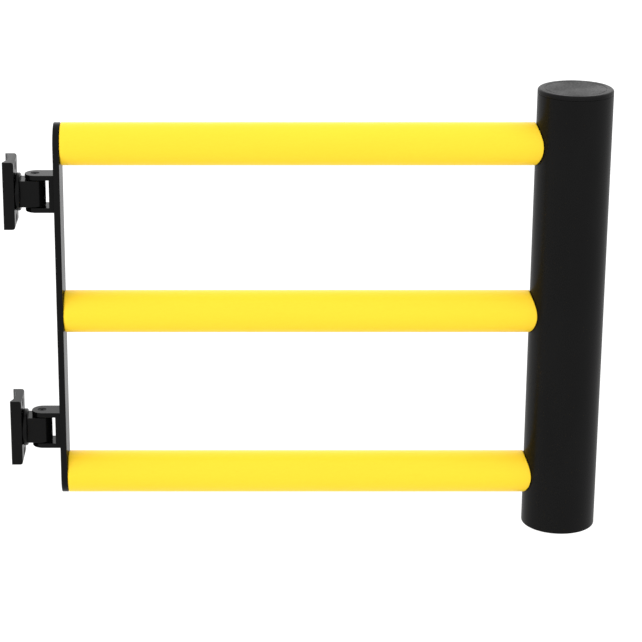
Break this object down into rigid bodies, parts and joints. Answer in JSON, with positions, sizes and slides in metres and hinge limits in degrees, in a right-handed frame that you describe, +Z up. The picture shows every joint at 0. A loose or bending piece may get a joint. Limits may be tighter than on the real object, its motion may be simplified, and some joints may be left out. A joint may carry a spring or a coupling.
{
  "type": "swing safety gate",
  "caption": "Hinged pedestrian safety gate: yellow tube rails between a black hinge plate and a round end post, on pin hinges with saddle plates.",
  "frame": {"origin": "on the seat plane of the lower saddle plate, level with the middle of the lower hinge and in the gate leaf's middle plane", "axes": "+X runs from the supporting post to the end post with the gate closed, +Z is up along the hinge pins, and +Y is to the left of +X"},
  "size_m": [1.1255, 0.14, 0.86],
  "materials": {
    "black_metal": "black satin powder coat",
    "black_oxide": "blackened steel",
    "zinc_steel": "zinc plated steel",
    "yellow_polymer": "smooth yellow polymer with a soft shine",
    "black_polymer": "black satin polymer with a fine grain",
    "inner_polymer": "dark moulded plastic"
  },
  "bodies": {
    "mount_brackets": {"lower_saddle_plate": "black_metal", "lower_knuckle": "black_metal", "lower_knuckle_bolt": "zinc_steel", "lower_top_bush": "inner_polymer", "lower_bottom_bush": "inner_polymer", "lower_spring": "zinc_steel", "upper_saddle_plate": "black_metal", "upper_knuckle": "black_metal", "upper_knuckle_bolt": "zinc_steel", "upper_top_bush": "inner_polymer", "upper_bottom_bush": "inner_polymer", "upper_spring": "zinc_steel"},
    "gate_leaf": {"hinge_plate": "black_metal", "lower_clevis": "black_metal", "lower_hinge_pin": "black_oxide", "lower_clevis_bottom_screw": "zinc_steel", "lower_clevis_top_screw": "zinc_steel", "upper_clevis": "black_metal", "upper_hinge_pin": "black_oxide", "upper_clevis_bottom_screw": "zinc_steel", "upper_clevis_top_screw": "zinc_steel", "bottom_rail": "yellow_polymer", "bottom_rail_plug": "inner_polymer", "bottom_rail_screw": "zinc_steel", "bottom_rail_spigot": "inner_polymer", "middle_rail": "yellow_polymer", "middle_rail_plug": "inner_polymer", "middle_rail_screw": "zinc_steel", "middle_rail_spigot": "inner_polymer", "top_rail": "yellow_polymer", "top_rail_plug": "inner_polymer", "top_rail_screw": "zinc_steel", "top_rail_spigot": "inner_polymer", "end_post": "black_polymer", "post_top_cap": "black_polymer", "post_foot_plug": "inner_polymer", "rail_locking_rod": "zinc_steel"}
  },
  "joints": [
    {"name": "leaf_swing", "type": "hinge", "parent": "mount_brackets", "child": "gate_leaf", "pos_m": [0.0575, 0, 0], "axis": [0, 0, 1], "range_deg": [-90, 90], "stiffness_Nm_per_rad": 4}
  ]
}
